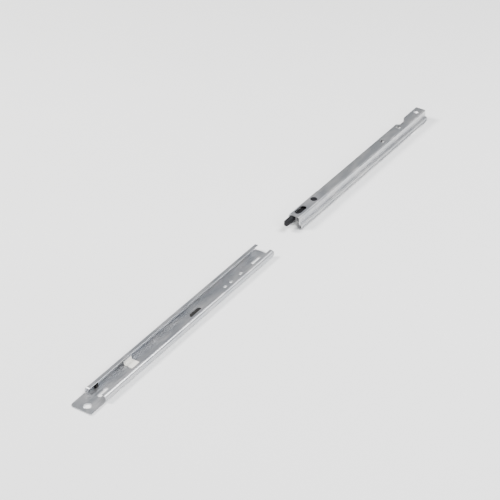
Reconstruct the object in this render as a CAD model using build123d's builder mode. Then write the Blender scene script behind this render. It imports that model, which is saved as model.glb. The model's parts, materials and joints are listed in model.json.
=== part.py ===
"""Side-mounted ball-bearing drawer slide, shown with the drawer rail drawn out of the cabinet rail.

+X runs from the rear fixing tab to the front of the cabinet, +Z points out of the rail's web,
and z = 0 is the face that lies against the cabinet side. Pieces are drawn about the rails' middle
line; save() moves them so that the origin is the rear tab's screw hole.
"""
from build123d import *
import os

os.makedirs("parts", exist_ok=True)

# cabinet rail, a C-channel with inward lips (mm)
RAIL_W = 45.0
RAIL_H = 12.7
RAIL_T = 1.5
RAIL_BEND = 5.0
LIP_W = 9.3
RAIL_REAR = -15.0
RAIL_FRONT = 535.0
TAB_HOLE_R = 6.5
TAB_CORNER_R = 8.0
FLANGE_START = 25.0
UPTURN_H = 2.6
FLANGE_R = 4.0

# drawer rail, a hat section that runs inside the channel (mm)
HAT_REAR = 640.0
HAT_FRONT = 1140.0
HAT_T = 1.2
HAT_WEB_HALF = 12.1
HAT_TOP = 25.0
SHOULDER_Z = 10.3
RACE_HALF = 16.9
FOOT_HALF = 18.2
FOOT_TOP = 3.6
HAT_BEND = 3.2
SHOULDER_BEND = 1.0

# ball races (mm)
BALL_R = 2.0
BALL_Y = 18.95
BALL_Z = RAIL_H / 2
BALL_COUNT = 12
BALL_PITCH = 14.8
CAGE_LENGTH = 178.0
CAGE_FRONT = 528.0
CAGE_T = 0.7
CAGE_BOTTOM = 2.8
CAGE_TOP = 9.9
BALL_POCKET_R = 2.1

# fixings in the webs (mm)
FIXING_Y = -3.0
KEY_SLOT_X = (33.0, 51.0)
KEY_SLOT_W = 8.0
KEY_ROUND_R = 5.5
FRONT_SLOT_X = 504.0
FRONT_SLOT_SIZE = (27.0, 8.0)
SCREW_HOLE_X = (404.0, 422.0, 454.0)
SCREW_HOLE_R = 3.75
HAT_HOLE_X = (976.0, 1045.0, 1121.0)
HAT_HOLE_R = 5.0

# travel stops and glides (mm)
STOP_X = 309.0
STOP_HOLE = (24.0, 6.0)
STOP_HEAD = (30.0, 10.0)
STOP_TOP = 3.8
SADDLE_X = (119.0, 140.0)
SADDLE_T = 0.8
SADDLE_HALF = 12.5
SADDLE_TOP = 8.4
SADDLE_BEND = 2.4
BUFFER_X = 47.0
BUFFER_Y = 15.2
BUFFER_SIZE = (7.0, 4.4)
BUFFER_TOP = 9.6
STEM_R = 1.5
STEM_REST = 0.2
PIN_X = 530.0
PIN_R = 1.5
PIN_TIP = 18.6

# reinforcing sleeve over the rear of the drawer rail (mm)
SLEEVE_T = 0.6
SLEEVE_LENGTH = 100.0
SLEEVE_FOOT = 15.5
WINDOW = (664.5, 1.2)
WINDOW_SIZE = (32.0, 13.0)
NOTCH_MOUTH = (1052.0, 1089.0)
NOTCH_ROOT = (1058.0, 1069.0)
NOTCH_ROOT_Y = 0.0
NOTCH_FLOOR = 14.0
NOTCH_R = 3.0

# release latch inside the drawer rail (mm)
PIVOT_X = 711.0
PIVOT_R = 2.0
PIVOT_BORE_R = 2.1
BOSS_R = 7.0
LEVER_Z = (17.0, 21.0)
LEVER_WAIST_X = (659.0, 675.0, 695.0)
LEVER_WAIST_Y = (9.0, -5.4)
HEAD_GAP = 0.3
NOSE_X = (617.0, 650.0)
NOSE_Y = (0.8, 10.2)
NOSE_Z = (11.0, 23.4)
NOSE_R = 2.5
NOSE_CROWN = 1.2
LATCH_HEAD_R = (7.0, 5.4)
LATCH_HEAD_H = 1.2
LATCH_TAIL_R = (3.0, 2.4)
WASHER_R = 5.0
WASHER_T = 0.8
WASHER_GAP = 0.1
LEAF_T = 0.4
LEAF_W = 3.2
LEAF_LIFT = 0.4
LEAF_X = (707.0, 693.0, 663.0, 657.0)
LEAF_TIP_Y = (-1.2, 0.4)
LEAF_BEND = (14.0, 6.0)

# rivets in the side walls and glide shoes inside the rear feet (mm)
RIVET_HEAD_R = 2.3
RIVET_CROWN_R = 1.7
RIVET_SHANK_R = 1.5
RIVET_HEAD_H = 0.9
SLEEVE_RIVET_X = (655.0, 730.0)
SLEEVE_RIVET_Z = 17.0
SPRING_RIVET_X = 700.0
SPRING_RIVET_Z = 18.5
SHOE_SIZE = (12.0, 2.8)
SHOE_Z = (2.4, 6.6)

SIDES = {"left": 1, "right": -1}


def save(piece, name):
    """Put a finished piece in the shared frame, label it and write its STEP file."""
    placed = Pos(0, -FIXING_Y, 0) * piece
    placed.label = name
    export_step(placed, f"parts/{name}.step")


def sheet_path(points, radii):
    """Middle line of a folded sheet, rounded at each bend."""
    return FilletPolyline(*points, radius=list(radii))


# ---- cabinet rail -------------------------------------------------------------------------
half_mid = RAIL_W / 2 - RAIL_T / 2
top_mid = RAIL_H - RAIL_T / 2
bend_mid = RAIL_BEND - RAIL_T / 2
lip_edge = RAIL_W / 2 - LIP_W

with BuildPart() as cabinet_rail:
    with BuildSketch(Plane.YZ.offset(RAIL_REAR)):
        with BuildLine():
            sheet_path(
                [(-lip_edge, top_mid), (-half_mid, top_mid), (-half_mid, RAIL_T / 2),
                 (half_mid, RAIL_T / 2), (half_mid, top_mid), (lip_edge, top_mid)],
                [bend_mid] * 4,
            )
        trace(line_width=RAIL_T)
    extrude(amount=RAIL_FRONT - RAIL_REAR)

    # both flanges stop short of the tab: the left one down to the flat, with its top corner
    # rounded, and the right one down to a low upturned edge that runs on beside the tab
    with BuildSketch(Plane.XZ.offset(-RAIL_W)):
        with BuildLine():
            Polyline((RAIL_REAR - 1, RAIL_T), (FLANGE_START, RAIL_T), (FLANGE_START, RAIL_H - FLANGE_R))
            RadiusArc((FLANGE_START, RAIL_H - FLANGE_R), (FLANGE_START + FLANGE_R, RAIL_H), FLANGE_R)
            Polyline((FLANGE_START + FLANGE_R, RAIL_H), (FLANGE_START + FLANGE_R, RAIL_H + 1),
                     (RAIL_REAR - 1, RAIL_H + 1), (RAIL_REAR - 1, RAIL_T))
        make_face()
    extrude(amount=RAIL_W, mode=Mode.SUBTRACT)
    with BuildSketch(Plane.XY.offset(UPTURN_H)):
        with Locations((RAIL_REAR, -RAIL_W / 2)):
            Rectangle(2 * (FLANGE_START - RAIL_REAR), RAIL_W)
    extrude(amount=RAIL_H, mode=Mode.SUBTRACT)

    # the tab is flat out to its left edge, and its free corner there is rounded
    with BuildSketch(Plane.XY):
        with Locations(((RAIL_REAR + FLANGE_START) / 2, RAIL_W / 2 - RAIL_BEND / 2)):
            Rectangle(FLANGE_START - RAIL_REAR, RAIL_BEND)
    extrude(amount=RAIL_T)
    corner = cabinet_rail.edges().filter_by(Axis.Z).group_by(Axis.X)[0].sort_by(Axis.Y)[-1]
    fillet(corner, radius=TAB_CORNER_R)

    # fixing holes, slots and the seats of the stops
    with BuildSketch(Plane.XY):
        with Locations((0, FIXING_Y)):
            Circle(TAB_HOLE_R)
        with Locations(((KEY_SLOT_X[0] + KEY_SLOT_X[1]) / 2, FIXING_Y)):
            SlotCenterToCenter(KEY_SLOT_X[1] - KEY_SLOT_X[0], KEY_SLOT_W)
        with Locations((KEY_SLOT_X[1], FIXING_Y)):
            Circle(KEY_ROUND_R)
        with Locations((FRONT_SLOT_X, FIXING_Y)):
            SlotOverall(*FRONT_SLOT_SIZE)
        with Locations([(x, FIXING_Y) for x in SCREW_HOLE_X]):
            Circle(SCREW_HOLE_R)
        with Locations((STOP_X, FIXING_Y)):
            SlotOverall(*STOP_HOLE)
        with Locations([(BUFFER_X, side * BUFFER_Y) for side in SIDES.values()]):
            Circle(STEM_R)
    extrude(amount=RAIL_T, mode=Mode.SUBTRACT)
    with BuildSketch(Plane.XZ):
        with Locations((PIN_X, BALL_Z)):
            Circle(PIN_R)
    extrude(amount=RAIL_W, both=True, mode=Mode.SUBTRACT)
save(cabinet_rail.part, "cabinet_rail")


# ---- guide saddle across the channel ------------------------------------------------------
saddle_side = SADDLE_HALF - SADDLE_T / 2
saddle_floor = RAIL_T + SADDLE_T / 2

with BuildPart() as guide_saddle:
    with BuildSketch(Plane.YZ.offset(SADDLE_X[0])):
        with BuildLine():
            sheet_path([(-saddle_side, SADDLE_TOP), (-saddle_side, saddle_floor),
                        (saddle_side, saddle_floor), (saddle_side, SADDLE_TOP)],
                       [SADDLE_BEND] * 2)
        trace(line_width=SADDLE_T)
    extrude(amount=SADDLE_X[1] - SADDLE_X[0])
save(guide_saddle.part, "guide_saddle")


# ---- out-stop bumper in the web -----------------------------------------------------------
with BuildPart() as stop_bumper:
    with BuildSketch(Plane.XY.offset(RAIL_T)):
        with Locations((STOP_X, FIXING_Y)):
            SlotOverall(*STOP_HEAD)
    extrude(amount=STOP_TOP - RAIL_T)
    fillet(stop_bumper.faces().sort_by(Axis.Z)[-1].edges(), radius=1.2)
    with BuildSketch(Plane.XY.offset(STEM_REST)):
        with Locations((STOP_X, FIXING_Y)):
            SlotOverall(*STOP_HOLE)
    extrude(amount=RAIL_T - STEM_REST)
save(stop_bumper.part, "stop_bumper")


# ---- closing buffers under the lips -------------------------------------------------------
for side_name, side in SIDES.items():
    with BuildPart() as rear_buffer:
        with BuildSketch(Plane.XY.offset(RAIL_T)):
            with Locations((BUFFER_X, side * BUFFER_Y)):
                RectangleRounded(*BUFFER_SIZE, radius=1.2)
        extrude(amount=BUFFER_TOP - RAIL_T)
        fillet(rear_buffer.faces().sort_by(Axis.Z)[-1].edges(), radius=0.8)
        with BuildSketch(Plane.XY.offset(STEM_REST)):
            with Locations((BUFFER_X, side * BUFFER_Y)):
                Circle(STEM_R)
        extrude(amount=RAIL_T - STEM_REST)
    save(rear_buffer.part, f"rear_buffer_{side_name}")


# ---- pins that hold the cages in the channel's front end -----------------------------------
with BuildPart() as cage_stop_pins:
    for side in SIDES.values():
        with BuildSketch(Plane.XZ.offset(-side * PIN_TIP)):
            with Locations((PIN_X, BALL_Z)):
                Circle(PIN_R)
        extrude(amount=-side * (RAIL_W / 2 - PIN_TIP))
save(cage_stop_pins.part, "cage_stop_pins")


# ---- ball cages and balls -----------------------------------------------------------------
cage_mid_x = CAGE_FRONT - CAGE_LENGTH / 2
cage_mid_z = (CAGE_BOTTOM + CAGE_TOP) / 2

for side_name, side in SIDES.items():
    with BuildPart() as ball_cage:
        with BuildSketch(Plane.XZ.offset(-side * BALL_Y)):
            with Locations((cage_mid_x, cage_mid_z)):
                RectangleRounded(CAGE_LENGTH, CAGE_TOP - CAGE_BOTTOM, radius=2.0)
            with Locations((cage_mid_x, BALL_Z)):
                with GridLocations(BALL_PITCH, 1, BALL_COUNT, 1):
                    Circle(BALL_POCKET_R, mode=Mode.SUBTRACT)
        extrude(amount=CAGE_T / 2, both=True)
    save(ball_cage.part, f"ball_cage_{side_name}")

    with BuildPart() as balls:
        with Locations((cage_mid_x, side * BALL_Y, BALL_Z)):
            with GridLocations(BALL_PITCH, 1, BALL_COUNT, 1):
                Sphere(BALL_R)
    save(balls.part, f"balls_{side_name}")


# ---- drawer rail --------------------------------------------------------------------------
def hat_points(web_half, top, shoulder, race_half, foot_half, foot_top):
    """Corner points of half a hat section's middle line, from the foot up to the web."""
    return [(foot_half, foot_top), (race_half, foot_top), (race_half, shoulder),
            (web_half, shoulder), (web_half, top)]


inset = HAT_T / 2
right_half = hat_points(HAT_WEB_HALF - inset, HAT_TOP - inset, SHOULDER_Z - inset,
                        RACE_HALF - inset, FOOT_HALF, FOOT_TOP - inset)
left_half = [(-y, z) for y, z in reversed(right_half)]
web_bend = HAT_BEND - inset
shoulder_bend = SHOULDER_BEND + inset

with BuildPart() as drawer_rail:
    with BuildSketch(Plane.YZ.offset(HAT_REAR)):
        with BuildLine():
            sheet_path(
                right_half + left_half,
                [shoulder_bend * 0.6, web_bend, shoulder_bend, web_bend,
                 web_bend, shoulder_bend, web_bend, shoulder_bend * 0.6],
            )
        trace(line_width=HAT_T)
    extrude(amount=HAT_FRONT - HAT_REAR)

    # window over the latch, the pivot hole and the drawer's screw holes
    with BuildSketch(Plane.XY.offset(HAT_TOP - HAT_T)):
        with Locations(WINDOW):
            SlotOverall(*WINDOW_SIZE)
        with Locations((PIVOT_X, 0)):
            Circle(PIVOT_R)
        with Locations([(x, 0) for x in HAT_HOLE_X]):
            Circle(HAT_HOLE_R)
    extrude(amount=HAT_T, mode=Mode.SUBTRACT)

    # clearance notch in the left edge of the web, near the front, with slanted sides
    with BuildSketch(Plane.XY.offset(NOTCH_FLOOR)):
        with BuildLine():
            FilletPolyline((NOTCH_MOUTH[0], HAT_WEB_HALF), (NOTCH_ROOT[0], NOTCH_ROOT_Y),
                           (NOTCH_ROOT[1], NOTCH_ROOT_Y), (NOTCH_MOUTH[1], HAT_WEB_HALF), radius=NOTCH_R)
            Polyline((NOTCH_MOUTH[1], HAT_WEB_HALF), (NOTCH_MOUTH[1], HAT_WEB_HALF + 1),
                     (NOTCH_MOUTH[0], HAT_WEB_HALF + 1), (NOTCH_MOUTH[0], HAT_WEB_HALF))
        make_face()
    extrude(amount=HAT_TOP - NOTCH_FLOOR, mode=Mode.SUBTRACT)

    # rivet holes in the side walls
    for side in SIDES.values():
        with BuildSketch(Plane.XZ.offset(-side * (HAT_WEB_HALF - HAT_T))):
            with Locations([(x, SLEEVE_RIVET_Z) for x in SLEEVE_RIVET_X]):
                Circle(RIVET_SHANK_R)
            if side < 0:
                with Locations((SPRING_RIVET_X, SPRING_RIVET_Z)):
                    Circle(RIVET_SHANK_R)
        extrude(amount=-side * HAT_T, mode=Mode.SUBTRACT)
save(drawer_rail.part, "drawer_rail")


# ---- rear sleeve over the drawer rail -----------------------------------------------------
sleeve_mid = SLEEVE_T / 2
sleeve_right = [(SLEEVE_FOOT, SHOULDER_Z + sleeve_mid), (HAT_WEB_HALF + sleeve_mid, SHOULDER_Z + sleeve_mid),
                (HAT_WEB_HALF + sleeve_mid, HAT_TOP + sleeve_mid)]
sleeve_left = [(-y, z) for y, z in reversed(sleeve_right)]

with BuildPart() as rear_sleeve:
    with BuildSketch(Plane.YZ.offset(HAT_REAR)):
        with BuildLine():
            sheet_path(sleeve_right + sleeve_left,
                       [SHOULDER_BEND - sleeve_mid, HAT_BEND + sleeve_mid,
                        HAT_BEND + sleeve_mid, SHOULDER_BEND - sleeve_mid])
        trace(line_width=SLEEVE_T)
    extrude(amount=SLEEVE_LENGTH)
    with BuildSketch(Plane.XY.offset(HAT_TOP)):
        with Locations(WINDOW):
            SlotOverall(*WINDOW_SIZE)
        with Locations((PIVOT_X, 0)):
            Circle(PIVOT_R)
    extrude(amount=SLEEVE_T, mode=Mode.SUBTRACT)
    for side in SIDES.values():
        with BuildSketch(Plane.XZ.offset(-side * HAT_WEB_HALF)):
            with Locations([(x, SLEEVE_RIVET_Z) for x in SLEEVE_RIVET_X]):
                Circle(RIVET_SHANK_R)
            if side < 0:
                with Locations((SPRING_RIVET_X, SPRING_RIVET_Z)):
                    Circle(RIVET_SHANK_R)
        extrude(amount=-side * SLEEVE_T, mode=Mode.SUBTRACT)
save(rear_sleeve.part, "rear_sleeve")


# ---- rivets through the side walls --------------------------------------------------------
wall_in = HAT_WEB_HALF - HAT_T
wall_out = HAT_WEB_HALF + SLEEVE_T


def side_rivet(x, z, side, grip_in):
    """Domed rivet through one side wall, from the inner face at grip_in to a head outside."""
    profile = [(0, grip_in - RIVET_HEAD_H), (RIVET_CROWN_R, grip_in - RIVET_HEAD_H), (RIVET_HEAD_R, grip_in),
               (RIVET_SHANK_R, grip_in), (RIVET_SHANK_R, wall_out), (RIVET_HEAD_R, wall_out),
               (RIVET_CROWN_R, wall_out + RIVET_HEAD_H), (0, wall_out + RIVET_HEAD_H)]
    with BuildSketch(Plane((x, 0, z))) as half_rivet:
        with BuildLine():
            Polyline(*[(r, side * y) for r, y in profile], close=True)
        make_face()
    revolve(half_rivet.sketch, axis=Axis((x, 0, z), (0, 1, 0)))


with BuildPart() as sleeve_rivets:
    for rivet_side in SIDES.values():
        for rivet_x in SLEEVE_RIVET_X:
            side_rivet(rivet_x, SLEEVE_RIVET_Z, rivet_side, wall_in)
save(sleeve_rivets.part, "sleeve_rivets")

with BuildPart() as spring_rivet:
    side_rivet(SPRING_RIVET_X, SPRING_RIVET_Z, SIDES["right"], wall_in - LEAF_T)
save(spring_rivet.part, "spring_rivet")


# ---- latch lever, its pivot rivet, washer and leaf spring ---------------------------------
with BuildPart() as latch_lever:
    with BuildSketch(Plane.XY.offset(LEVER_Z[0])):
        with BuildLine():
            Polyline((PIVOT_X, BOSS_R), (LEVER_WAIST_X[1], LEVER_WAIST_Y[0]), (NOSE_X[1], LEVER_WAIST_Y[0]),
                     (NOSE_X[1], NOSE_Y[0]), (LEVER_WAIST_X[0], NOSE_Y[0]),
                     (LEVER_WAIST_X[2], LEVER_WAIST_Y[1]), (PIVOT_X, -BOSS_R), close=True)
        make_face()
        with Locations((PIVOT_X, 0)):
            Circle(BOSS_R)
    extrude(amount=LEVER_Z[1] - LEVER_Z[0])
    with BuildSketch(Plane.XY.offset(NOSE_Z[0])):
        with Locations(((NOSE_X[0] + NOSE_X[1]) / 2, (NOSE_Y[0] + NOSE_Y[1]) / 2)):
            RectangleRounded(NOSE_X[1] - NOSE_X[0], NOSE_Y[1] - NOSE_Y[0], radius=NOSE_R)
    extrude(amount=NOSE_Z[1] - NOSE_Z[0])
    with BuildSketch(Plane.XY.offset(LEVER_Z[0])):
        with Locations((PIVOT_X, 0)):
            Circle(BOSS_R - 1)
    extrude(amount=HAT_TOP - HAT_T - HEAD_GAP - LEVER_Z[0])
    with BuildSketch(Plane.XY.offset(LEVER_Z[0])):
        with Locations((PIVOT_X, 0)):
            Circle(PIVOT_BORE_R)
    extrude(amount=HAT_TOP - LEVER_Z[0], mode=Mode.SUBTRACT)
    nose_top = latch_lever.faces().filter_by_position(Axis.Z, NOSE_Z[1], NOSE_Z[1])
    chamfer(nose_top.edges(), length=NOSE_CROWN)
    chamfer(latch_lever.faces().sort_by(Axis.Z)[0].edges(), length=1.0)
save(latch_lever.part, "latch_lever")

rivet_top = HAT_TOP + SLEEVE_T
rivet_grip = LEVER_Z[0] - WASHER_T - WASHER_GAP
with BuildPart() as latch_rivet:
    with BuildSketch(Plane.XZ):
        with BuildLine():
            profile = [(0, rivet_top + LATCH_HEAD_H), (LATCH_HEAD_R[1], rivet_top + LATCH_HEAD_H),
                       (LATCH_HEAD_R[0], rivet_top), (PIVOT_R, rivet_top), (PIVOT_R, rivet_grip),
                       (LATCH_TAIL_R[0], rivet_grip), (LATCH_TAIL_R[1], rivet_grip - 1), (0, rivet_grip - 1)]
            Polyline(*[(PIVOT_X + r, z) for r, z in profile], close=True)
        make_face()
    revolve(axis=Axis((PIVOT_X, 0, 0), (0, 0, 1)))
save(latch_rivet.part, "latch_rivet")

with BuildPart() as latch_washer:
    with BuildSketch(Plane.XY.offset(rivet_grip)):
        with Locations((PIVOT_X, 0)):
            Circle(WASHER_R)
            Circle(PIVOT_R, mode=Mode.SUBTRACT)
    extrude(amount=WASHER_T)
save(latch_washer.part, "latch_washer")

leaf_wall = LEAF_T / 2 - wall_in
with BuildPart() as latch_spring:
    with BuildSketch(Plane.XY.offset(LEVER_Z[0] + LEAF_LIFT)):
        with BuildLine():
            sheet_path(zip(LEAF_X, (leaf_wall, leaf_wall, *LEAF_TIP_Y)), LEAF_BEND)
        trace(line_width=LEAF_T)
    extrude(amount=LEAF_W)
    with BuildSketch(Plane.XZ):
        with Locations((SPRING_RIVET_X, SPRING_RIVET_Z)):
            Circle(RIVET_SHANK_R)
    extrude(amount=HAT_WEB_HALF, mode=Mode.SUBTRACT)
save(latch_spring.part, "latch_spring")


# ---- glide shoes inside the rear feet of the drawer rail ----------------------------------
for side_name, side in SIDES.items():
    with BuildPart() as glide_shoe:
        with BuildSketch(Plane.XY.offset(SHOE_Z[0])):
            with Locations((HAT_REAR + SHOE_SIZE[0] / 2, side * (RACE_HALF - HAT_T - SHOE_SIZE[1] / 2))):
                RectangleRounded(*SHOE_SIZE, radius=0.8)
        extrude(amount=SHOE_Z[1] - SHOE_Z[0])
    save(glide_shoe.part, f"glide_shoe_{side_name}")
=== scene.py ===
"""Looks of a ball-bearing cabinet drawer slide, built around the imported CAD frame.

Sizes are in millimetres while a piece is modelled; finish_piece() turns them into metres.
"""

import json
import math

import bmesh
import bpy
from bpy.props import FloatProperty, FloatVectorProperty, IntProperty, PointerProperty
from mathutils import Matrix, Vector


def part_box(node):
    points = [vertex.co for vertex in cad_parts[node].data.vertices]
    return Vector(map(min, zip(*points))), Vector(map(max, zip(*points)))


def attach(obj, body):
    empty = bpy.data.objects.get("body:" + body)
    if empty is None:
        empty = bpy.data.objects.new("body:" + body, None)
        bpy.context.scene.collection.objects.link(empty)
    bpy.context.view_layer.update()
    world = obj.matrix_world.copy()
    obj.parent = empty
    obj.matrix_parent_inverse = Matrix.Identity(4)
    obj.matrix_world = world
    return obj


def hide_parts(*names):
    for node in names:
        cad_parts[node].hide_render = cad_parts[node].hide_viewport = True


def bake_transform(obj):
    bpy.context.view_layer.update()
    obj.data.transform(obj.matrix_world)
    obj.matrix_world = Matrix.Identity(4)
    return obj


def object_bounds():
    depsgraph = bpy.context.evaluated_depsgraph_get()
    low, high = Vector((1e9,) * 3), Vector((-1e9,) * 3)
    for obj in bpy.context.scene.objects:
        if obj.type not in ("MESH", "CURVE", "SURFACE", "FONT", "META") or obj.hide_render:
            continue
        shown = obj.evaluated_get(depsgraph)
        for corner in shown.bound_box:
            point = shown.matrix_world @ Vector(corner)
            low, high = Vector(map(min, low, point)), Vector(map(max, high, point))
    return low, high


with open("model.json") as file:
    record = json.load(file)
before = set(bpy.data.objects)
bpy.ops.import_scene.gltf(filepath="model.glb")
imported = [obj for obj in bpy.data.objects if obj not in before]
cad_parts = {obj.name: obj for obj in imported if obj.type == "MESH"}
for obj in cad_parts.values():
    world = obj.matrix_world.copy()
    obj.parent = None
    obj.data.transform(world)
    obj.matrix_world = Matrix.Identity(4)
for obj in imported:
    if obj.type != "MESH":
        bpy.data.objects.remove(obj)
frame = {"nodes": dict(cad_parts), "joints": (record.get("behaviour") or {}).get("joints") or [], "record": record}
CAD_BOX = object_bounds()

bl_info = {
    "name": "Drawer slide",
    "version": (1, 0, 0),
    "blender": (4, 5, 0),
    "location": "View3D > Sidebar > Drawer slide",
    "description": "Builds the finished look of a ball-bearing cabinet drawer slide",
    "category": "Object",
}

MM = 0.001
RECORD = frame["record"]
FINISHES = {row["slot"]: row["base_color"] for row in RECORD["materials"]}
MOUNTS = {row["name"]: row for row in RECORD["mounts"]}
JOINTS = {row["name"]: row for row in frame["joints"]}
SIDES = ("left", "right")
RAIL_FINISHES = {"cabinet_rail": "rail_steel", "drawer_rail": "drawer_steel",
                 "rear_sleeve": "sleeve_steel"}

# Sizes of the moulded and turned pieces that the frame's boxes don't tell, in millimetres.
BALL_PITCH = 14.8
SADDLE_WALL, SADDLE_BEND = 0.8, 2.2
LEVER_LOW, LEVER_HIGH = 17.0, 21.0
# The latch's black nose is a latch grip and also painted shade: its length and rounding are set to fill the dark
# shade inside the drawer rail's flange.
SHADE_NOSE_LENGTH, SHADE_NOSE_ROUND = 33.0, 3.8
RIVET_SHANK, RIVET_HEAD, SLEEVE_RIVET_GRIP = 1.5, 0.9, 1.8
LEAF_THICKNESS = 0.36

# The studio, in metres and degrees.
FLOOR_HALF, FLOOR_DROP = 8.0, 0.0004
CAMERA_AZIMUTH, CAMERA_ELEVATION, CAMERA_DISTANCE = -56.69, 33.93, 3.03075
CAMERA_TARGET_X, CAMERA_TARGET_Z = 0.48759, 0.03309
SENSOR_WIDTH_MM = 36.0
ROOM_STRENGTH = 0.43


def node_box(node):
    """Lowest and highest corner of a CAD node, in millimetres."""
    low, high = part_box(node)
    return low / MM, high / MM


# ---- sizes and colours a user may change ---------------------------------------------------
def colour(slot, description):
    """A colour property whose default is the record's colour of that finish."""
    return FloatVectorProperty(name=slot.replace("_", " ").capitalize(), description=description,
                               subtype="COLOR", size=3, min=0, max=1, default=FINISHES[slot][:3])


class SlideColours(bpy.types.PropertyGroup):
    """Colours of the slide's finishes"""
    rail_steel: colour("rail_steel", "Bright zinc on the cabinet rail")
    drawer_steel: colour("drawer_steel", "Bright zinc on the drawer rail")
    sleeve_steel: colour("sleeve_steel", "Zinc on the rear sleeve")
    cage_steel: colour("cage_steel", "Bare strip of the ball cages")
    ball_steel: colour("ball_steel", "Polished balls")
    pin_steel: colour("pin_steel", "Rivets, washer and cage pins")
    blackened_steel: colour("blackened_steel", "Black oxide on the pivot rivet")
    spring_steel: colour("spring_steel", "Tempered strip of the leaf spring")
    white_nylon: colour("white_nylon", "Natural nylon of the guide saddle")
    black_rubber: colour("black_rubber", "Rubber of the bumper and buffers")
    black_acetal: colour("black_acetal", "Acetal of the latch and glide shoes")
    floor: FloatVectorProperty(name="Floor", description="Pale studio floor", subtype="COLOR",
                               size=3, min=0, max=1, default=(0.93, 0.93, 0.925))


class SlideSizes(bpy.types.PropertyGroup):
    """Sizes of the small details, in metres"""
    edge_round: FloatProperty(name="Edge round", description="Rounding of moulded edges",
                              default=0.0005, min=0.0001, max=0.001, unit="LENGTH")
    rim_height: FloatProperty(name="Rim height", description="Height of the rim round a punched hole",
                              default=0.0002, min=0, max=0.0005, unit="LENGTH")
    rim_width: FloatProperty(name="Rim width", description="Width of the rim round a punched hole",
                             default=0.0009, min=0.0002, max=0.002, unit="LENGTH")
    grip_ribs: IntProperty(name="Grip ribs", description="Ribs on the latch's finger grip",
                           default=6, min=2, max=10)
    buffer_ribs: IntProperty(name="Buffer ribs", description="Ribs on each rear buffer",
                             default=4, min=2, max=6)
    lens: FloatProperty(name="Lens", description="Focal length of the studio camera",
                        default=0.11947, min=0.03, max=0.3, unit="CAMERA")


# ---- materials -----------------------------------------------------------------------------
class Value:
    """A socket in a material's nodes. Arithmetic on it adds Math nodes."""

    def __init__(self, tree, socket=None):
        self.tree = tree
        self.socket = socket

    def node(self, kind, settings, sockets, output=0):
        """Add a node: its settings first, then the values or links of its sockets."""
        made = self.tree.nodes.new(kind)
        for name, setting in settings.items():
            if name == "stops":
                ramp = made.color_ramp.elements
                for element, (place, grey) in zip(ramp, setting):
                    element.position = place
                    element.color = (grey, grey, grey, 1)
            else:
                setattr(made, name, setting)
        for name, value in sockets.items():
            if isinstance(value, Value):
                self.tree.links.new(value.socket, made.inputs[name])
            else:
                made.inputs[name].default_value = value
        return Value(self.tree, made.outputs[output])

    def math(self, operation, left, right):
        return self.node("ShaderNodeMath", {"operation": operation}, {0: left, 1: right})

    def __add__(self, other):
        return self.math("ADD", self, other)

    def __mul__(self, other):
        return self.math("MULTIPLY", self, other)

    __radd__ = __add__
    __rmul__ = __mul__


def noise(root, stretch, detail=3.0, lo=0.3, hi=0.7):
    """Noise on Object coordinates: stretch is its features per metre along each axis, and the ramp
    spreads what lies between lo and hi to 0..1."""
    place = root.node("ShaderNodeTexCoord", {}, {}, "Object")
    mapped = root.node("ShaderNodeMapping", {}, {"Vector": place, "Scale": stretch})
    raw = root.node("ShaderNodeTexNoise", {}, {"Vector": mapped, "Scale": 1.0, "Detail": detail})
    return root.node("ShaderNodeValToRGB", {"stops": ((lo, 0.0), (hi, 1.0))}, {"Fac": raw})


def mix(root, factor, first, second):
    """Mix two colours, each a tuple or a link."""
    sockets = {0: factor, 6: first, 7: second}
    return root.node("ShaderNodeMix", {"data_type": "RGBA"}, sockets, 2)


def shade(tone, factor, warmth=0.0):
    """A lighter or darker colour, moved a little towards warm or cool."""
    gains = (factor * (1 + warmth), factor, factor * (1 - warmth))
    return (*(min(channel * gain, 1) for channel, gain in zip(tone[:3], gains)), 1)


def finish_material(name, metallic, build, specular=0.5):
    """A Principled material; build(root) gives its varying sockets and the bump's height and depth."""
    material = bpy.data.materials.new(name)
    material.use_nodes = True
    tree = material.node_tree
    shader = tree.nodes["Principled BSDF"]
    shader.inputs["Metallic"].default_value = metallic
    shader.inputs["Specular IOR Level"].default_value = specular
    root = Value(tree)
    base, roughness, height, depth = build(root)
    bump = root.node("ShaderNodeBump", {}, {"Strength": 0.6, "Distance": depth, "Height": height})
    for socket, value in (("Base Color", base), ("Roughness", roughness), ("Normal", bump)):
        tree.links.new(value.socket, shader.inputs[socket])
    return material


def plated_steel(name, tone, rough, wear=1.0):
    """Zinc plating over roll-formed strip: grain along X, a faint passivation tint and handling marks."""
    def build(root):
        grain = noise(root, (16, 1300, 1300), 3.0, 0.35, 0.65)
        streak = noise(root, (6, 230, 230), 2.0, 0.38, 0.62)
        cloud = noise(root, (26, 55, 55), 4.0, 0.40, 0.62)
        mottle = noise(root, (260, 420, 420), 3.0, 0.35, 0.65)
        scratch = noise(root, (45, 2600, 2600), 1.0, 0.64, 0.69)
        tint = mix(root, cloud, shade(tone, 0.80, -0.02), shade(tone, 0.90, 0.02))
        patchy = mix(root, mottle * 0.14, tint, shade(tone, 0.66, -0.02))
        rolled = mix(root, streak * 0.15, patchy, shade(tone, 0.56))
        grained = mix(root, grain * 0.20, rolled, shade(tone, 0.98))
        base = mix(root, scratch * (0.30 * wear), grained, shade(tone, 1.25))
        roughness = grain * 0.08 + streak * 0.04 + cloud * 0.08 + mottle * 0.06 + scratch * (-0.06) + rough
        height = grain * 0.45 + streak * 0.1 + mottle * 0.35 + scratch * (-0.5 * wear)
        return base, roughness, height, 0.000018
    return finish_material(name, 1.0, build)


def bare_steel(name, tone, rough):
    """Bare machined or stamped steel with fine turned marks and thin oil stains."""
    def build(root):
        marks = noise(root, (700, 700, 3000), 2.0)
        stain = noise(root, (90, 90, 90), 4.0, 0.4, 0.7)
        base = mix(root, stain * 0.5, shade(tone, 1.05), shade(tone, 0.75, 0.06))
        return base, marks * 0.08 + stain * 0.10 + rough, marks, 0.00001
    return finish_material(name, 1.0, build)


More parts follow.
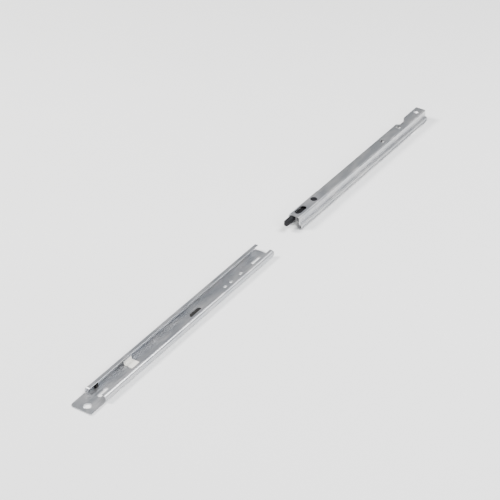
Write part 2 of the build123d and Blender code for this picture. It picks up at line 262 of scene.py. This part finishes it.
def black_oxide(name, tone):
    """Blackened steel, rubbed grey where a tool or a thumb has touched it."""
    def build(root):
        rubbed = noise(root, (260, 260, 260), 4.0, 0.55, 0.75)
        pits = noise(root, (1800, 1800, 1800), 2.0)
        base = mix(root, rubbed * 0.5, shade(tone, 0.45), shade(tone, 1.9, 0.02))
        return base, pits * 0.12 + rubbed * (-0.08) + 0.40, pits, 0.00002
    return finish_material(name, 0.5, build, 0.25)


def tempered_steel(name, tone):
    """Spring strip with the blue and straw bands that tempering leaves."""
    def build(root):
        band = noise(root, (70, 12, 12), 2.0, 0.35, 0.65)
        grain = noise(root, (40, 2600, 2600), 2.0)
        base = mix(root, band, shade(tone, 0.9, -0.12), shade(tone, 1.15, 0.14))
        return base, grain * 0.12 + 0.24, grain, 0.00001
    return finish_material(name, 1.0, build)


def moulded_plastic(name, tone, rough, depth, specular=0.5):
    """Moulded acetal or nylon: spark-eroded grain, flow lines and scuffed highs."""
    def build(root):
        grain = noise(root, (3200, 3200, 3200), 3.0)
        flow = noise(root, (25, 140, 90), 3.0, 0.35, 0.7)
        scuff = noise(root, (180, 900, 900), 2.0, 0.62, 0.72)
        body = mix(root, flow * 0.6, shade(tone, depth), shade(tone, depth * 1.3, 0.02))
        base = mix(root, scuff * 0.25, body, shade(tone, depth * 2.2))
        return base, grain * 0.12 + scuff * 0.10 + rough, grain * 0.7 + scuff * (-0.3), 0.00002
    return finish_material(name, 0.0, build, specular)


def rubber(name, tone):
    """Moulded rubber: dull, slightly pitted, with pale dust in the low places."""
    def build(root):
        pits = noise(root, (2200, 2200, 2200), 4.0, 0.35, 0.65)
        dust = noise(root, (120, 120, 120), 4.0, 0.5, 0.8)
        base = mix(root, dust * 0.35, shade(tone, 0.45), shade(tone, 1.8, 0.04))
        return base, pits * 0.08 + dust * 0.06 + 0.72, pits, 0.00004
    return finish_material(name, 0.0, build, 0.2)


def floor_paper(name, tone):
    """Pale matt paper sweep."""
    def build(root):
        fibre = noise(root, (400, 400, 400), 4.0)
        cloud = noise(root, (2.5, 2.5, 2.5), 3.0, 0.3, 0.7)
        base = mix(root, cloud, shade(tone, 0.985), shade(tone, 1.01))
        return base, fibre * 0.06 + 0.88, fibre, 0.00002
    return finish_material(name, 0.0, build)


def finish(slot):
    """The material of one of the record's finishes, made once."""
    name = f"{slot}_finish"
    made = bpy.data.materials.get(name)
    if made:
        return made
    tone = getattr(bpy.context.scene.slide_colours, slot)
    makers = {
        "rail_steel": lambda: plated_steel(name, tone, 0.27),
        "drawer_steel": lambda: plated_steel(name, tone, 0.25),
        "sleeve_steel": lambda: plated_steel(name, tone, 0.31, 1.4),
        "pin_steel": lambda: bare_steel(name, tone, 0.28),
        "cage_steel": lambda: bare_steel(name, tone, 0.32),
        "ball_steel": lambda: bare_steel(name, tone, 0.06),
        "blackened_steel": lambda: black_oxide(name, tone),
        "spring_steel": lambda: tempered_steel(name, tone),
        "white_nylon": lambda: moulded_plastic(name, tone, 0.42, 0.88),
        "black_rubber": lambda: rubber(name, tone),
        "black_acetal": lambda: moulded_plastic(name, tone, 0.50, 0.30, 0.2),
    }
    return makers[slot]()


# ---- mesh helpers, all in millimetres --------------------------------------------------------
def block(shape, low, high, radius, segments=3):
    """Add a closed block between two corners, with every edge rounded."""
    low, high = Vector(low), Vector(high)
    size = high - low
    place = Matrix.Translation((low + high) / 2) @ Matrix.Diagonal((*size, 1))
    made = bmesh.ops.create_cube(shape, size=1.0, matrix=place)
    edges = list({edge for vert in made["verts"] for edge in vert.link_edges})
    bmesh.ops.bevel(shape, geom=edges, offset=min(radius, 0.45 * min(size)), segments=segments,
                    affect="EDGES", profile=0.5, material=-1)


def turned(shape, profile, centre, axis, steps=32):
    """Add a solid of revolution; profile is (radius, height along the axis) pairs."""
    axis = Vector(axis)
    across = axis.orthogonal().normalized()
    start = [shape.verts.new(Vector(centre) + across * radius + axis * height)
             for radius, height in profile]
    edges = [shape.edges.new(pair) for pair in zip(start, start[1:])]
    if profile[0][0] > 0 and profile[-1][0] > 0:
        edges.append(shape.edges.new((start[-1], start[0])))
    bmesh.ops.spin(shape, geom=start + edges, cent=centre, axis=axis, angle=math.tau, steps=steps,
                   use_merge=True, use_duplicate=False)
    bmesh.ops.remove_doubles(shape, verts=shape.verts, dist=0.0005)


def prism(shape, outline, thickness, radius, segments=3):
    """Add a closed plate: an outline of points pushed along thickness, its long edges rounded."""
    face = shape.faces.new([shape.verts.new(point) for point in outline])
    pushed = bmesh.ops.extrude_face_region(shape, geom=[face])["geom"]
    top = [item for item in pushed if isinstance(item, bmesh.types.BMVert)]
    bmesh.ops.translate(shape, vec=thickness, verts=top)
    ends = {face, *[item for item in pushed if isinstance(item, bmesh.types.BMFace)]}
    rim = list({edge for end in ends for edge in end.edges})
    if radius:
        bmesh.ops.bevel(shape, geom=rim, offset=radius, segments=segments, affect="EDGES", profile=0.5,
                        material=-1)


def finish_piece(name, shape, body, slot, replaced=(), smooth=35):
    """Turn a millimetre mesh into a piece in metres that rides on a body."""
    bmesh.ops.scale(shape, vec=(MM, MM, MM), verts=shape.verts)
    bmesh.ops.recalc_face_normals(shape, faces=shape.faces)
    mesh = bpy.data.meshes.new(name)
    shape.to_mesh(mesh)
    shape.free()
    mesh.shade_smooth()
    mesh.set_sharp_from_angle(angle=math.radians(smooth))
    piece = bpy.data.objects.new(name, mesh)
    bpy.context.scene.collection.objects.link(piece)
    mesh.materials.append(finish(slot))
    if body:
        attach(piece, body)
    if replaced:
        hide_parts(*replaced)
    return piece


def dress(node, slot):
    """Give a CAD node that stays its finish."""
    materials = frame["nodes"][node].data.materials
    materials.clear()
    materials.append(finish(slot))


def spread(first, last, count):
    """Evenly spaced values from first to last."""
    return [first + (last - first) * index / (count - 1) for index in range(count)]


def arc(x, y, radius, angles):
    """Points round a centre at the given angles, in degrees."""
    turns = [math.radians(angle) for angle in angles]
    return [(x + radius * math.cos(turn), y + radius * math.sin(turn)) for turn in turns]


# ---- pieces ----------------------------------------------------------------------------------
class SLIDE_OT_rails(bpy.types.Operator):
    """Finish the two rails and the sleeve, and roll a rim round each punched hole"""
    bl_idname = "slide.rails"
    bl_label = "Rails"

    def execute(self, context):
        sizes = context.scene.slide_sizes
        for node, slot in RAIL_FINISHES.items():
            dress(node, slot)
        height, width = sizes.rim_height / MM, sizes.rim_width / MM
        web_top = MOUNTS["rear_tab_hole"]["dims"]["length_mm"]
        drawer_top = node_box("drawer_rail")[1].z
        pair = MOUNTS["cabinet_screw_pair"]
        half = pair["dims"]["spacing_x_mm"] / 2
        pair_x = pair["pos_m"][0] / MM
        rims = {
            "cabinet": (web_top, "rail_steel", [
                (0, 0, MOUNTS["rear_tab_hole"]["dims"]["r_mm"]),
                (MOUNTS["cabinet_screw_hole_rear"]["pos_m"][0] / MM, 0, pair["dims"]["hole_r_mm"]),
                (pair_x - half, 0, pair["dims"]["hole_r_mm"]),
                (pair_x + half, 0, pair["dims"]["hole_r_mm"]),
            ]),
            "drawer": (drawer_top, "drawer_steel", [
                (mount["pos_m"][0] / MM, mount["pos_m"][1] / MM, mount["dims"]["r_mm"])
                for name, mount in MOUNTS.items() if name.startswith("drawer_screw_hole")
            ]),
        }
        for body, (level, slot, holes) in rims.items():
            shape = bmesh.new()
            for x, y, radius in holes:
                profile = [(radius, 0), (radius, height * 0.5), (radius + width * 0.2, height * 0.9),
                           (radius + width * 0.45, height), (radius + width * 0.8, height * 0.5),
                           (radius + width, 0)]
                turned(shape, profile, (x, y, level), (0, 0, 1), 48)
            finish_piece(f"{body}_hole_rims", shape, body, slot, smooth=60)
        return {"FINISHED"}


class SLIDE_OT_races(bpy.types.Operator):
    """Build the balls, the collared ball cages and the pins that hold the cages"""
    bl_idname = "slide.races"
    bl_label = "Ball races"

    def execute(self, context):
        for name in SIDES:
            low, high = node_box(f"balls_{name}")
            radius = (high.z - low.z) / 2
            middle = (low + high) / 2
            count = round((high.x - low.x - 2 * radius) / BALL_PITCH) + 1
            places = spread(low.x + radius, high.x - radius, count)
            shape = bmesh.new()
            for x in places:
                bmesh.ops.create_uvsphere(shape, u_segments=24, v_segments=14, radius=radius,
                                          matrix=Matrix.Translation((x, middle.y, middle.z)))
            finish_piece(f"polished_balls_{name}", shape, f"cage_{name}", "ball_steel",
                         [f"balls_{name}"], 80)

            dress(f"ball_cage_{name}", "cage_steel")
            thick = node_box(f"ball_cage_{name}")
            face = thick[1].y - thick[0].y
            shape = bmesh.new()
            for x in places:
                for outward in (1, -1):
                    centre = (x, middle.y + outward * face / 2, middle.z)
                    profile = [(radius + 0.1, 0), (radius + 0.04, 0.35), (radius + 0.2, 0.5),
                               (radius + 0.45, 0.3), (radius + 0.6, 0)]
                    turned(shape, profile, centre, (0, outward, 0), 24)
            finish_piece(f"cage_collars_{name}", shape, f"cage_{name}", "cage_steel", (), 60)

        low, high = node_box("cage_stop_pins")
        radius = (high.z - low.z) / 2
        x, z = (low.x + high.x) / 2, (low.z + high.z) / 2
        shape = bmesh.new()
        for outside, inward in ((low.y, 1), (high.y, -1)):
            profile = [(0, 0), (radius - 0.4, 0), (radius, 0.3), (radius, 3.2),
                       (radius - 0.3, 3.7), (0, 3.9)]
            turned(shape, profile, (x, outside, z), (0, inward, 0), 24)
        finish_piece("staked_cage_pins", shape, "cabinet", "pin_steel", ["cage_stop_pins"])
        return {"FINISHED"}


class SLIDE_OT_stops(bpy.types.Operator):
    """Build the guide saddle, the out-stop bumper and the two rear buffers"""
    bl_idname = "slide.stops"
    bl_label = "Saddle, bumper and buffers"

    def execute(self, context):
        sizes = context.scene.slide_sizes
        edge = sizes.edge_round / MM
        low, high = node_box("guide_saddle")
        middle = (low.y + high.y) / 2
        half = (high.y - low.y) / 2 - SADDLE_BEND
        outline = []
        for side, radius, upward in ((1, SADDLE_BEND, False), (-1, SADDLE_BEND, True),
                                     (-1, SADDLE_BEND - SADDLE_WALL, False),
                                     (1, SADDLE_BEND - SADDLE_WALL, True)):
            ear = [(low.x, middle + side * (half + radius), high.z)]
            ear += [(low.x, middle + side * y, z)
                    for y, z in arc(half, low.z + SADDLE_BEND, radius, spread(0, -90, 6))]
            outline += reversed(ear) if upward else ear
        shape = bmesh.new()
        prism(shape, outline, (high.x - low.x, 0, 0), 0.18, 2)
        for x in spread(low.x + 3, high.x - 3, 4):
            block(shape, (x - 0.4, middle - half, low.z + SADDLE_WALL * 0.5),
                  (x + 0.4, middle + half, low.z + SADDLE_WALL + 0.25), 0.2, 2)
        finish_piece("moulded_saddle", shape, "cabinet", "white_nylon", ["guide_saddle"], 40)

        low, high = node_box("stop_bumper")
        middle = (low + high) / 2
        web_top = MOUNTS["rear_tab_hole"]["dims"]["length_mm"]
        shape = bmesh.new()
        half = (high.y - low.y) / 2
        outline = [(*point, web_top) for x, start in ((high.x - half, -90), (low.x + half, 90))
                   for point in arc(x, middle.y, half, spread(start, start + 180, 13))]
        prism(shape, outline, (0, 0, high.z - 0.5 - web_top), 0.7, 4)
        for x in spread(low.x + 6, high.x - 6, 6):
            block(shape, (x - 0.8, low.y + 1.6, high.z - 1.2), (x + 0.8, high.y - 1.6, high.z), 0.45, 3)
        block(shape, (low.x + 5, low.y + 2.2, low.z), (high.x - 5, high.y - 2.2, web_top + 0.5), 0.3, 2)
        finish_piece("ribbed_bumper", shape, "cabinet", "black_rubber", ["stop_bumper"], 40)

        for name in SIDES:
            low, high = node_box(f"rear_buffer_{name}")
            shape = bmesh.new()
            block(shape, (low.x + 0.5, low.y + 0.5, web_top),
                  (high.x - 0.5, high.y - 0.5, high.z - 0.3), edge)
            levels = spread(web_top, high.z, sizes.buffer_ribs + 1)
            for bottom, top in zip(levels, levels[1:]):
                block(shape, (low.x, low.y, bottom), (high.x, high.y, top - 0.45), 0.6, 3)
            centre = ((low.x + high.x) / 2, (low.y + high.y) / 2, low.z)
            stem = web_top - low.z + 0.3
            turned(shape, [(0, 0), (1.2, 0), (1.45, 0.25), (1.45, stem), (0, stem)], centre, (0, 0, 1), 20)
            finish_piece(f"ribbed_buffer_{name}", shape, "cabinet", "black_rubber",
                         [f"rear_buffer_{name}"], 40)
        return {"FINISHED"}


class SLIDE_OT_latch(bpy.types.Operator):
    """Build the moulded latch lever, its pivot rivet, washer and leaf spring; the latch's black nose is partly
    painted shade, sized to fill the dark shade inside the drawer rail's flange
    """
    bl_idname = "slide.latch"
    bl_label = "Release latch"

    def execute(self, context):
        sizes = context.scene.slide_sizes
        edge = sizes.edge_round / MM
        low, high = node_box("latch_lever")
        pivot = Vector(JOINTS["latch_press"]["pos_m"]) / MM
        boss = high.x - pivot.x
        shade_nose_end, shade_nose_low = low.x + SHADE_NOSE_LENGTH, pivot.y + 0.8

        shape = bmesh.new()
        # Black nose block: the latch's finger grip, and painted shade filling the dark inside of the drawer rail's
        # flange.
        block(shape, (low.x, shade_nose_low, low.z), (shade_nose_end, high.y, high.z), SHADE_NOSE_ROUND, 6)
        for x in spread(low.x + 4.2, low.x + 17.2, sizes.grip_ribs):
            block(shape, (x - 0.7, shade_nose_low - 0.5, low.z + 2.6),
                  (x + 0.7, shade_nose_low + 1.5, high.z - 2.6), 0.4)
        arm = [*arc(pivot.x, pivot.y, boss, spread(-85, 85, 15)),
               (pivot.x - 36, pivot.y + 8.7), (shade_nose_end - 3, pivot.y + 8.7),
               (shade_nose_end - 3, shade_nose_low + 0.2), (pivot.x - 52, shade_nose_low + 0.2),
               (pivot.x - 16, pivot.y - 5.2)]
        floor_level = LEVER_LOW + 1.0
        prism(shape, [(x, y, floor_level) for x, y in arm], (0, 0, LEVER_HIGH - 1.2 - floor_level), edge)
        for first, last in (((pivot.x - 5, pivot.y + 6.3), (shade_nose_end - 3, pivot.y + 8.3)),
                            ((pivot.x - 7, pivot.y - 5.6), (pivot.x - 50, pivot.y + 1.2))):
            along = Vector((last[0] - first[0], last[1] - first[1]))
            normal = Vector((-along.y, along.x)).normalized() * 0.7
            bar = [(first[0] + normal.x, first[1] + normal.y), (last[0] + normal.x, last[1] + normal.y),
                   (last[0] - normal.x, last[1] - normal.y), (first[0] - normal.x, first[1] - normal.y)]
            prism(shape, [(x, y, LEVER_LOW) for x, y in bar], (0, 0, LEVER_HIGH - LEVER_LOW), 0.3, 2)
        for x in spread(pivot.x - 46, pivot.x - 16, 4):
            reach = (pivot.x - x) / 52
            block(shape, (x - 0.5, pivot.y - 4.6 + 5.4 * reach, LEVER_LOW + 0.4),
                  (x + 0.5, pivot.y + 7.6, LEVER_HIGH - 0.4), 0.25, 2)
        turned(shape, [(2.1, LEVER_LOW), (5.6, LEVER_LOW), (boss - 1.2, LEVER_LOW + 0.8),
                       (boss - 0.7, LEVER_HIGH), (boss - 1.2, high.z - 0.5), (boss - 1.8, high.z),
                       (2.1, high.z)],
               (pivot.x, pivot.y, 0), (0, 0, 1), 40)
        finish_piece("moulded_latch", shape, "latch", "black_acetal", ["latch_lever"], 38)

        low, high = node_box("latch_rivet")
        seat = node_box("rear_sleeve")[1].z
        radius = (high.x - low.x) / 2
        grip = low.z + 1
        shape = bmesh.new()
        turned(shape, [(0, high.z - 0.45), (1.6, high.z - 0.4), (2.3, high.z - 0.02), (3.4, high.z),
                       (radius - 2.0, high.z - 0.1), (radius - 0.9, high.z - 0.42),
                       (radius - 0.2, high.z - 0.85), (radius, seat + 0.05), (radius - 0.1, seat),
                       (2.0, seat), (2.0, grip), (3.0, grip),
                       (2.9, low.z + 0.5), (2.2, low.z), (0, low.z)],
               (pivot.x, pivot.y, 0), (0, 0, 1), 48)
        finish_piece("domed_pivot_rivet", shape, "drawer", "blackened_steel", ["latch_rivet"], 50)

        low, high = node_box("latch_washer")
        radius = (high.x - low.x) / 2
        shape = bmesh.new()
        turned(shape, [(2.05, low.z + 0.15), (2.2, low.z), (radius - 0.25, low.z), (radius, low.z + 0.2),
                       (radius, high.z - 0.2), (radius - 0.25, high.z), (2.2, high.z),
                       (2.05, high.z - 0.15)],
               (pivot.x, pivot.y, 0), (0, 0, 1), 40)
        finish_piece("turned_washer", shape, "drawer", "pin_steel", ["latch_washer"], 50)

        low, high = node_box("latch_spring")
        knots = [Vector((high.x, low.y + 0.2, 0)), Vector((high.x - 14, low.y + 0.2, 0)),
                 Vector((high.x - 44, high.y - 1.8, 0)), Vector((low.x, high.y - 0.2, 0))]
        line = []
        for first, corner, last in zip(knots, knots[1:], knots[2:]):
            reach = min((corner - first).length, (last - corner).length) * 0.45
            begin = corner + (first - corner).normalized() * reach
            end = corner + (last - corner).normalized() * reach
            line += [begin.lerp(corner, t).lerp(corner.lerp(end, t), t) for t in spread(0, 1, 7)]
        line = [knots[0], *line, knots[-1]]
        shape = bmesh.new()
        strip = [shape.verts.new((point.x, point.y, low.z)) for point in line]
        edges = [shape.edges.new(pair) for pair in zip(strip, strip[1:])]
        raised = bmesh.ops.extrude_edge_only(shape, edges=edges)["geom"]
        bmesh.ops.translate(shape, vec=(0, 0, high.z - low.z),
                            verts=[item for item in raised if isinstance(item, bmesh.types.BMVert)])
        bmesh.ops.solidify(shape, geom=shape.faces[:], thickness=LEAF_THICKNESS)
        leaf = finish_piece("tempered_leaf_spring", shape, "", "spring_steel", ["latch_spring"], 50)
        start, end = (high.x - 16) * MM, (low.x + 6) * MM
        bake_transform(leaf)
        return {"FINISHED"}


class SLIDE_OT_rivets(bpy.types.Operator):
    """Build the sleeve's domed rivets, the spring's rivet and the two glide shoes"""
    bl_idname = "slide.rivets"
    bl_label = "Rivets and glide shoes"

    def execute(self, context):
        low, high = node_box("sleeve_rivets")
        radius = (high.z - low.z) / 2
        shape = bmesh.new()
        for x in (low.x + radius, high.x - radius):
            for outside, inward in ((low.y, 1), (high.y, -1)):
                turned(shape, self.profile(radius, SLEEVE_RIVET_GRIP), (x, outside, (low.z + high.z) / 2),
                       (0, inward, 0), 28)
        finish_piece("domed_sleeve_rivets", shape, "drawer", "pin_steel", ["sleeve_rivets"], 50)

        low, high = node_box("spring_rivet")
        shape = bmesh.new()
        turned(shape, self.profile(radius, high.y - low.y - 2 * RIVET_HEAD),
               ((low.x + high.x) / 2, low.y, (low.z + high.z) / 2), (0, 1, 0), 28)
        finish_piece("domed_spring_rivet", shape, "drawer", "pin_steel", ["spring_rivet"], 50)

        for name in SIDES:
            low, high = node_box(f"glide_shoe_{name}")
            shape = bmesh.new()
            block(shape, low, high, 0.7, 4)
            finish_piece(f"moulded_shoe_{name}", shape, "drawer", "black_acetal",
                         [f"glide_shoe_{name}"], 40)
        return {"FINISHED"}

    @staticmethod
    def profile(radius, grip):
        """Half section of a rivet with a domed head at each end of the shank that fills its grip."""
        dome = [(radius * math.sin(math.radians(a)), RIVET_HEAD * (1 - math.cos(math.radians(a))))
                for a in spread(0, 90, 7)]
        far = 2 * RIVET_HEAD + grip
        return [*dome, (RIVET_SHANK, RIVET_HEAD), (RIVET_SHANK, RIVET_HEAD + grip),
                *[(r, far - h) for r, h in reversed(dome)]]


class SLIDE_OT_stage(bpy.types.Operator):
    """Lay the pale floor, hang the soft lights and place the camera"""
    bl_idname = "slide.stage"
    bl_label = "Studio"

    def execute(self, context):
        scene = context.scene
        middle = (Vector(CAD_BOX[0]) + Vector(CAD_BOX[1])) / 2
        mesh = bpy.data.meshes.new("studio_floor")
        shape = bmesh.new()
        bmesh.ops.create_grid(shape, x_segments=1, y_segments=1, size=FLOOR_HALF,
                              matrix=Matrix.Translation((middle.x, middle.y, -FLOOR_DROP)))
        shape.to_mesh(mesh)
        shape.free()
        floor = bpy.data.objects.new("studio_floor", mesh)
        scene.collection.objects.link(floor)
        mesh.materials.append(floor_paper("floor_paper", scene.slide_colours.floor))

        world = bpy.data.worlds.new("soft_room")
        world.use_nodes = True
        backdrop = world.node_tree.nodes["Background"]
        backdrop.inputs["Color"].default_value = (0.93, 0.95, 1.0, 1.0)
        backdrop.inputs["Strength"].default_value = ROOM_STRENGTH
        scene.world = world

        lights = (
            ("key_softbox", (-1.1, 2.3, 2.3), 0.9, 190.0, (1.0, 0.985, 0.96)),
            ("fill_softbox", (-0.9, -2.4, 1.6), 1.2, 60.0, (0.96, 0.98, 1.0)),
            ("top_softbox", (0.9, -1.1, 2.7), 1.4, 130.0, (1.0, 1.0, 1.0)),
        )
        for name, offset, size, power, tint in lights:
            lamp = bpy.data.lights.new(name, "AREA")
            lamp.size, lamp.energy, lamp.color = size, power, tint
            holder = bpy.data.objects.new(name, lamp)
            holder.location = middle + Vector(offset)
            holder.rotation_euler = (-Vector(offset)).to_track_quat("-Z", "Y").to_euler()
            scene.collection.objects.link(holder)

        azimuth, elevation = math.radians(CAMERA_AZIMUTH), math.radians(CAMERA_ELEVATION)
        target = Vector((CAMERA_TARGET_X, middle.y, CAMERA_TARGET_Z))
        back = Vector((math.sin(azimuth) * math.cos(elevation), -math.cos(azimuth) * math.cos(elevation),
                       math.sin(elevation)))
        lens = bpy.data.cameras.new("studio_camera")
        lens.sensor_width = SENSOR_WIDTH_MM
        lens.lens = scene.slide_sizes.lens / MM
        camera = bpy.data.objects.new("studio_camera", lens)
        camera.location = target + back * CAMERA_DISTANCE
        camera.rotation_euler = (math.pi / 2 - elevation, 0, azimuth)
        scene.collection.objects.link(camera)
        scene.camera = camera
        return {"FINISHED"}


OPERATORS = (SLIDE_OT_rails, SLIDE_OT_races, SLIDE_OT_stops, SLIDE_OT_latch, SLIDE_OT_rivets,
             SLIDE_OT_stage)


class SLIDE_PT_panel(bpy.types.Panel):
    """Buttons that build the slide, with its sizes and colours"""
    bl_idname = "SLIDE_PT_panel"
    bl_label = "Drawer slide"
    bl_space_type = "VIEW_3D"
    bl_region_type = "UI"
    bl_category = "Drawer slide"

    def draw(self, context):
        for operator in OPERATORS:
            self.layout.operator(operator.bl_idname)
        for group in (context.scene.slide_sizes, context.scene.slide_colours):
            for name in group.__annotations__:
                self.layout.prop(group, name)


CLASSES = (SlideColours, SlideSizes, *OPERATORS, SLIDE_PT_panel)


def register():
    for cls in CLASSES:
        bpy.utils.register_class(cls)
    bpy.types.Scene.slide_colours = PointerProperty(type=SlideColours)
    bpy.types.Scene.slide_sizes = PointerProperty(type=SlideSizes)


def unregister():
    del bpy.types.Scene.slide_sizes
    del bpy.types.Scene.slide_colours
    for cls in reversed(CLASSES):
        bpy.utils.unregister_class(cls)


def main():
    register()
    for step in (bpy.ops.slide.rails, bpy.ops.slide.races, bpy.ops.slide.stops, bpy.ops.slide.latch,
                 bpy.ops.slide.rivets, bpy.ops.slide.stage):
        step()
    bpy.context.view_layer.update()


if __name__ == "__main__":
    main()
